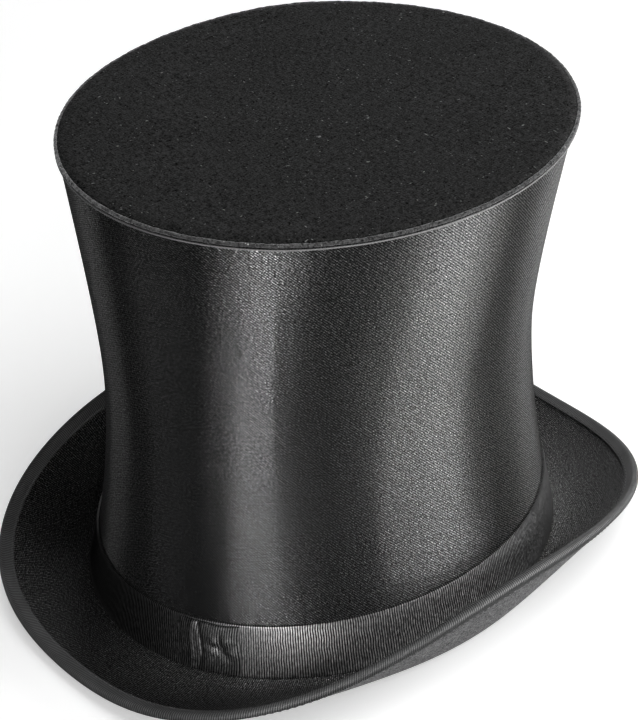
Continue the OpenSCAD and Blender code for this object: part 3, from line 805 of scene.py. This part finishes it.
def brim_sheet(name, d0, d1, mat, n=520):
    t = np.arange(n) * 2 * PI / n
    w = stop_v(t)[:, None]
    vs = np.concatenate([np.linspace(0, 0.1, 4), np.linspace(0.13, 1, 40)])[None, :] * np.ones((n, 1))
    vv = np.where(vs <= FLAT + 0.01, vs, vs * w)
    tt = t[:, None]
    fine = 0.04 * np.sin(61 * tt + 2 * np.sin(4 * tt)) * np.exp(-vv * 9)
    top = brim(tt, vv[:, ::-1], d1 + brim_warp(tt, vv[:, ::-1]) * 0.0 + fine[:, ::-1])
    bot = brim(tt, vv, d0 + 0 * vv)
    P = np.concatenate([mouth(t, d0)[:, None], bot, top, mouth(t, d1)[:, None]], 1)
    # cloth coordinates: along the edge, and out across the brim
    u = arc_len(brim(t, np.full(n, 0.5), np.zeros(n)))
    dist = np.cumsum(np.concatenate([np.zeros((n, 1)), np.linalg.norm(np.diff(brim(tt, vv, 0 * vv), axis=1), axis=2)], 1), 1)
    V = np.concatenate([np.full((n, 1), -4.0), dist, dist[:, ::-1], np.full((n, 1), -4.0)], 1)
    return sweep(name, P, mat, u, V)


top_cover = brim_sheet("brim_satin_top", -0.58, 0.0, MAT_BRIM)
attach(top_cover, "brim")
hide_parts("brim_top_cover")
under_cover = brim_sheet("brim_cloth_under", -BRIM_T, -2.02, MAT_UNDER)
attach(under_cover, "brim")
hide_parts("brim_under_cover")


def tape_outline(t, k=1.0):
    """Measures for the binding's rounded outline at each station, which binding_mesh builds up the underside, round the
    edge, and in over the top.
    """
    w, q = stop_v(t)[:, None], tape_v(t)[:, None]
    tt = t[:, None]
    f = np.linspace(0, 1, 8)[None, :]
    vv = q + (w - q) * f
    low, high = -BRIM_T - 0.55, 0.55
    mid, rad = (low + high) / 2, (high - low) / 2
    a = np.linspace(-PI / 2, PI / 2, 13)[1:-1][None, :]
    return w, q, tt, vv, mid, rad, a


def binding_mesh():
    n = 860 * 4
    t = np.arange(n) * 2 * PI / n
    # even spacing along the edge
    e = brim(t, stop_v(t), np.zeros(n))
    s = arc_len(e)
    total = s[-1] + np.linalg.norm(e[0] - e[-1])
    t = np.interp(np.arange(n) * total / n, np.append(s, total), np.append(t, 2 * PI))
    w, q, tt, vv, mid, rad, a = tape_outline(t)
    rib = (0.5 + 0.5 * np.cos(np.arange(n) * 2 * PI / 4))[:, None]
    soft = 0.10 * np.sin(23 * tt + 2 * np.sin(3 * tt)) + 0.06 * np.sin(57 * tt)
    r = 0.05 * rib
    env = np.array([0.2, 0.9, 1, 1, 1, 1, 1, 1])[None, :]
    bot = brim(tt, vv, mid - rad - 0.02 - r * env)
    bend = brim(tt, w + 0 * a, mid + (rad + r * 0.9) * np.sin(a), (1.85 + r) * np.cos(a) ** 0.8)
    top = brim(tt, vv[:, ::-1], mid + rad + 0.02 + (r + soft * 0.35) * env[:, ::-1])
    lip_t = brim(tt, q, 0.22)
    in_top = brim(tt, vv[:, 1:], 0.2)
    in_bend = brim(tt, w + 0 * a[:, ::2], mid + (rad - 0.35) * np.sin(a[:, ::-2]), 1.5 * np.cos(a[:, ::-2]) ** 0.8)
    in_bot = brim(tt, vv[:, :0:-1], -BRIM_T - 0.2)
    lip_b = brim(tt, q, -BRIM_T - 0.22)
    P = np.concatenate([bot, bend, top, lip_t, in_top, in_bend, in_bot, lip_b], 1)
    m = P.shape[1]
    V = np.concatenate([np.linspace(0, 6, 8), np.linspace(6.4, 11.2, 11), np.linspace(11.6, 18, 8), np.linspace(18.5, 40, m - 27)])
    U = np.arange(n) * (0.9 / 4)
    return sweep("brim_binding_tape", P, MAT_TAPE, U, V)


binding = binding_mesh()
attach(binding, "brim")
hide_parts("brim_binding")


def stitches(name, centres, dirs, ups, length, r, mat, sides=7):
    """Short sunk stitches: small capsules bent down at both ends."""
    verts, faces = [], []
    prof = [(-0.5, 0.25, -0.9), (-0.42, 0.8, -0.25), (-0.2, 1.0, 0.25), (0.0, 1.0, 0.4), (0.2, 1.0, 0.25), (0.42, 0.8, -0.25), (0.5, 0.25, -0.9)]
    for c, d, u in zip(centres, dirs, ups):
        s = np.cross(d, u)
        base = len(verts)
        for x, k, h in prof:
            o = c + d * x * length + u * h * r
            for j in range(sides):
                a = 2 * PI * j / sides
                verts.append(o + r * k * (math.cos(a) * s + math.sin(a) * u))
        m = len(prof)
        for i in range(m - 1):
            for j in range(sides):
                faces.append([base + i * sides + j, base + i * sides + (j + 1) % sides, base + (i + 1) * sides + (j + 1) % sides, base + (i + 1) * sides + j])
        faces.append([base + j for j in range(sides)][::-1])
        faces.append([base + (m - 1) * sides + j for j in range(sides)])
    ob = link(name, verts, faces, mat)
    fix_normals(ob)
    return ob


def edge_stitches(name, which, mat):
    n = 270
    fine = np.arange(2000) * 2 * PI / 2000
    vv = tape_v(fine) + 0.9 / np.sqrt(reach(fine) ** 2 + slope(fine, 0.85) ** 2)
    d = 0.60 if which == "top" else -BRIM_T - 0.60
    e = brim(fine, vv, np.full(2000, d))
    s = arc_len(e)
    total = s[-1] + np.linalg.norm(e[0] - e[-1])
    tt = np.interp(np.arange(n) * total / n, np.append(s, total), np.append(fine, 2 * PI))
    v2 = np.interp(tt, fine, vv)
    c = brim(tt, v2, np.full(n, d))
    nx = brim(tt + 0.004, v2, np.full(n, d)) - c
    nx /= np.linalg.norm(nx, axis=1)[:, None]
    up = brim(tt, v2, np.full(n, d + (1 if which == "top" else -1))) - c
    up /= np.linalg.norm(up, axis=1)[:, None]
    return stitches(name, c, nx, up, 1.9, 0.17, mat)


for which in ("top", "under"):
    st = edge_stitches(f"binding_stitches_{which}", which, MAT_STITCH)
    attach(st, "brim")

# ----------------------------------------------------------------- sweatband, reed and bow
def sweat_mesh():
    n = 1200
    t = np.arange(n) * 2 * PI / n
    top = 26.4
    P0 = side(t, 10.0, 4.5)
    ztop = np.full(n, top)
    for c in (PSI, 180 - PSI, 180 + PSI, 360 - PSI):
        dirn = np.array([math.cos(math.radians(c)), math.sin(math.radians(c))])
        perp = np.abs(P0[:, 0] * -dirn[1] + P0[:, 1] * dirn[0])
        front = (P0[:, :2] @ dirn) > 0
        k = np.clip((perp - 4.9) / 0.9, 0, 1)
        k = k * k * (3 - 2 * k)
        ztop = np.where(front & (perp < 12), 8.2 + (top - 8.2) * k, ztop)
    ztop = ztop + 0.15 * np.sin(9 * t)
    f = np.linspace(0, 1, 26)[None, :]
    zz = -2.1 + (ztop[:, None] + 2.1) * f
    tt = t[:, None]
    rel = 0.10 * np.sin(31 * tt + 3 * np.sin(2 * tt)) * f + 0.25 * np.sin(5 * tt + 1) * f
    rel = np.clip(rel, -0.2, 0.35)
    outer = side(tt, zz, 3.95 + 0 * zz)
    inner = side(tt, zz[:, ::-1], 4.95 + rel[:, ::-1] - 0.35 * np.exp(-((f[:, ::-1] - 1) / 0.03) ** 2) - 0.3 * np.exp(-(f[:, ::-1] / 0.03) ** 2))
    P = np.concatenate([outer, inner], 1)
    return sweep("sweatband_leather", P, MAT_LEATHER)


sweat = sweat_mesh()
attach(sweat, "brim")
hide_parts("sweatband")


def sweat_stitch(name, z, n, keep_clear):
    t = np.arange(n) * 2 * PI / n
    P0 = side(t, 10.0, 4.5)
    ok = np.ones(n, bool)
    if keep_clear:
        for c in (PSI, 180 - PSI, 180 + PSI, 360 - PSI):
            dirn = np.array([math.cos(math.radians(c)), math.sin(math.radians(c))])
            perp = np.abs(P0[:, 0] * -dirn[1] + P0[:, 1] * dirn[0])
            ok &= ~(((P0[:, :2] @ dirn) > 0) & (perp < 7.5))
    t = t[ok]
    rel = np.clip(0.10 * np.sin(31 * t + 3 * np.sin(2 * t)) * 0.9 + 0.25 * np.sin(5 * t + 1) * 0.9, -0.2, 0.35) if keep_clear else 0 * t
    c = side(t, z, 5.02 + rel)
    nx = side(t + 0.004, z, 5.02 + rel) - c
    nx /= np.linalg.norm(nx, axis=1)[:, None]
    up = side(t, z, 6.0 + rel) - c
    up /= np.linalg.norm(up, axis=1)[:, None]
    return stitches(name, c, nx, up, 2.0, 0.2, MAT_TAN)


for nm, z, cnt, kc in (("sweatband_stitches_top", 24.6, 190, True), ("sweatband_stitches_foot", -0.4, 200, False)):
    st = sweat_stitch(nm, z, cnt, kc)
    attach(st, "brim")

lo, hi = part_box("sweatband_reed")
n = 1500
t = np.arange(n) * 2 * PI / n
zc = (lo.z + hi.z) / 2 / MM
path = np.stack([(BASE[0] - 5.8) * np.cos(t), (BASE[1] - 5.8) * np.sin(t), zc + 0 * t], -1)
reed = rope("sweatband_reed_cord", path, 0.66, MAT_REED, plies=1, turns=330, depth=0.10)
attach(reed, "brim")
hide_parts("sweatband_reed")


def strip(name, path, across, width, thick, mat, closed=False):
    """Flat ribbon strip along a path, with a crowned section."""
    path = np.asarray(path, float)
    n = len(path)
    tan = np.gradient(path, axis=0)
    tan /= np.linalg.norm(tan, axis=1)[:, None]
    ac = np.asarray(across, float)
    if ac.ndim == 1:
        ac = np.broadcast_to(ac, (n, 3))
    ac = ac - (ac * tan).sum(1)[:, None] * tan
    ac /= np.linalg.norm(ac, axis=1)[:, None]
    nor = np.cross(tan, ac)
    wd = np.broadcast_to(width, (n,))
    f = np.linspace(-0.5, 0.5, 13)
    rows = []
    for x in f:
        rows.append(path + ac * (x * wd)[:, None] + nor * (thick / 2 * (1 - (2 * x) ** 6) + 0.12 * math.cos(x * 9))[..., None] if False else
                    path + ac * (x * wd)[:, None] + nor * (thick / 2 + 0.10 * math.cos(x * 8)))
    for x in f[::-1]:
        rows.append(path + ac * (x * wd)[:, None] + nor * (-thick / 2 + 0.10 * math.cos(x * 8)))
    P = np.array(rows).transpose(1, 0, 2)
    U = arc_len(path)
    V = np.concatenate([f * 5, f[::-1] * 5])
    return sweep(name, P, mat, U, V, closed=False)


def bow():
    lo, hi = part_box("sweatband_bow")
    c = np.array([0, (lo.y + hi.y) / 2 / MM - 0.2, (lo.z + hi.z) / 2 / MM])
    lean = math.radians(13)
    ez = np.array([0, -math.sin(lean), math.cos(lean)])
    en = np.array([0, -math.cos(lean), -math.sin(lean)])
    ex = np.array([1.0, 0, 0])
    parts = []
    for s in (-1, 1):
        a = np.linspace(0, 2 * PI, 60)
        # teardrop loop lying flat, its two legs one above the other
        x = s * (1.2 + 8.2 * np.sin(a / 2) ** 1.1)
        h = 0.15 + 1.0 * np.sin(a) * np.sin(a / 2)
        y = 0.8 * np.sin(a / 2)
        path = c + np.outer(x, ex) + np.outer(h, en) + np.outer(y * 0.6, ez)
        wd = 3.0 + 2.6 * np.sin(a / 2) ** 1.3
        parts.append(strip("loop", path, ez, wd, 0.28, MAT_BOW))
        b = np.linspace(0, 1, 30)
        path = c + np.outer(s * (0.8 + 7.0 * b), ex) + np.outer(-0.5 - 0.1 * np.sin(b * 5), en) + np.outer(-1.0 - 6.0 * b ** 1.2, ez)
        parts.append(strip("tail", path, ez + 0.9 * s * ex, 3.0 + 1.0 * b, 0.28, MAT_BOW))
    a = np.linspace(0, 2 * PI, 41)[:-1]
    path = c + np.outer(0.55 + 1.05 * np.cos(a), en) * 0.9 + np.outer(2.7 * np.sin(a), ez)
    parts.append(strip("knot", np.concatenate([path, path[:1]]), ex, 3.0, 0.35, MAT_BOW))
    return join(parts, "sweatband_bow_ribbon")


bw = bow()
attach(bw, "brim")
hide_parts("sweatband_bow")

# ----------------------------------------------------------------- floor, light and camera
def stage_material():
    """Pale paper sweep: a little self light keeps it pale to the camera, and it shows only faintly in glossy cloth."""
    m = M("studio_floor")
    p = m.obj()
    a = m.noise(p, 9.0, 3.0)
    lp = m.n("ShaderNodeLightPath")
    glossy = lp.outputs["Is Glossy Ray"]
    base = m.math("MULTIPLY", m.remap(a, 0.80, 0.82, 0.3, 0.7), m.math("MULTIPLY_ADD", glossy, -0.8, 1.0))
    m.set(Base_Color=m.grey(base), Roughness=0.9, Specular_IOR_Level=0.0)
    m.put(m.b.inputs["Emission Color"], (1, 1, 1, 1))
    m.put(m.b.inputs["Emission Strength"], m.math("MULTIPLY", lp.outputs["Is Camera Ray"], FLOOR_GLOW))
    return m.m


FLOOR_GLOW = 0.45
me = bpy.data.meshes.new("floor")
S = 6.0
me.from_pydata([(-S, -S, -0.0008), (S, -S, -0.0008), (S, S, -0.0008), (-S, S, -0.0008)], [], [(0, 1, 2, 3)])
me.materials.append(stage_material())
floor = bpy.data.objects.new("floor", me)
bpy.context.scene.collection.objects.link(floor)

world = bpy.data.worlds.new("studio")
bpy.context.scene.world = world
world.use_nodes = True
wt = world.node_tree
bg = wt.nodes["Background"]
lp = wt.nodes.new("ShaderNodeLightPath")
mul = wt.nodes.new("ShaderNodeMath")
mul.operation = "MULTIPLY_ADD"
wt.links.new(lp.outputs["Is Camera Ray"], mul.inputs[0])
mul.inputs[1].default_value = 0.95
mul.inputs[2].default_value = 0.05
bg.inputs[0].default_value = (1, 1, 1, 1)
wt.links.new(mul.outputs[0], bg.inputs[1])


def area(name, az, el, dist, w, h, power, target=(0, 0, 0.1), colour=(1, 1, 1), diffuse=True, glossy=True):
    """Softbox at this azimuth (0 is in front of the hat, 90 at its left) and elevation, aimed at the target."""
    li = bpy.data.lights.new(name, "AREA")
    li.shape = "RECTANGLE"
    li.size, li.size_y = w, h
    li.energy = power
    li.color = colour
    ob = bpy.data.objects.new(name, li)
    a, e = math.radians(az), math.radians(el)
    pos = Vector(target) + dist * Vector((math.sin(a) * math.cos(e), -math.cos(a) * math.cos(e), math.sin(e)))
    ob.location = pos
    ob.rotation_euler = (Vector(target) - pos).to_track_quat("-Z", "Y").to_euler()
    ob.visible_diffuse = diffuse
    ob.visible_glossy = glossy
    ob.visible_camera = False
    bpy.context.scene.collection.objects.link(ob)
    return ob


area("key_strip", 42, 9, 1.8, 0.66, 1.2, 165, diffuse=False)
area("side_strip", 118, 9, 1.8, 0.92, 1.2, 225, diffuse=False)
area("mid_strip", 84, 9, 1.8, 0.80, 1.2, 14, diffuse=False)
left_low = area("left_low", 350, 5, 1.9, 1.0, 0.6, 8, diffuse=False)
right_rim = area("right_rim", 168, 5, 2.0, 1.0, 0.6, 38, diffuse=False)
area("key_fill", 60, 35, 2.0, 1.0, 1.2, 9, glossy=False)
area("top_soft", 112, 62, 1.25, 1.0, 1.0, 14)
back_left = area("back_left", 300, 4, 2.0, 0.5, 0.4, 7)
area("back_strip", 222, 10, 2.0, 0.7, 0.8, 8)

# the low lights at the sides are flagged off the brim and ribbon, which lie in the brim's own shade
shaded = bpy.data.collections.new("lit_by_low_lights")
for ob in list(bpy.context.scene.objects):
    if ob.type == "MESH" and ob.name.split(".")[0] not in ("hat_ribbon_grosgrain", "ribbon_join_gathered", "brim_satin_top"):
        shaded.objects.link(ob)
for li in (left_low, back_left, right_rim):
    li.light_linking.receiver_collection = shaded

# the curled brim shades the ribbon from every low light, so a small lamp above looks over the brim at the ribbon alone
ribbon_only = bpy.data.collections.new("lit_by_ribbon_lamp")
ribbon_only.objects.link(bpy.data.objects["hat_ribbon_grosgrain"])
area("ribbon_lamp", 117, 56, 1.3, 0.5, 0.5, 84, diffuse=False).light_linking.receiver_collection = ribbon_only

CAM = dict(az=48.353, el=34.9552, roll=-0.7161, dist=0.838850, f=2112.6405, cx=323.1857, cy=385.2781)
a, e, r = (math.radians(CAM[k]) for k in ("az", "el", "roll"))
back = Vector((math.sin(a) * math.cos(e), -math.cos(a) * math.cos(e), math.sin(e)))
right = Vector((math.cos(a), math.sin(a), 0))
up = back.cross(right)
R0 = right * math.cos(r) + up * math.sin(r)
R1 = -right * math.sin(r) + up * math.cos(r)
loc = Vector((0, 0, 0.0726)) + back * CAM["dist"]
cam = bpy.data.cameras.new("camera")
cam.sensor_width = 36.0
cam.lens = CAM["f"] * 36.0 / 720.0
cam.shift_x = (319.0 - CAM["cx"]) / 720.0
cam.shift_y = (CAM["cy"] - 360.0) / 720.0
cam.clip_start = 0.01
camera = bpy.data.objects.new("camera", cam)
camera.matrix_world = Matrix(((R0.x, R1.x, back.x, loc.x), (R0.y, R1.y, back.y, loc.y), (R0.z, R1.z, back.z, loc.z), (0, 0, 0, 1)))
bpy.context.scene.collection.objects.link(camera)
bpy.context.scene.camera = camera
bpy.context.scene.view_settings.view_transform = "Standard"
bpy.context.scene.view_settings.look = "None"

bpy.context.view_layer.update()
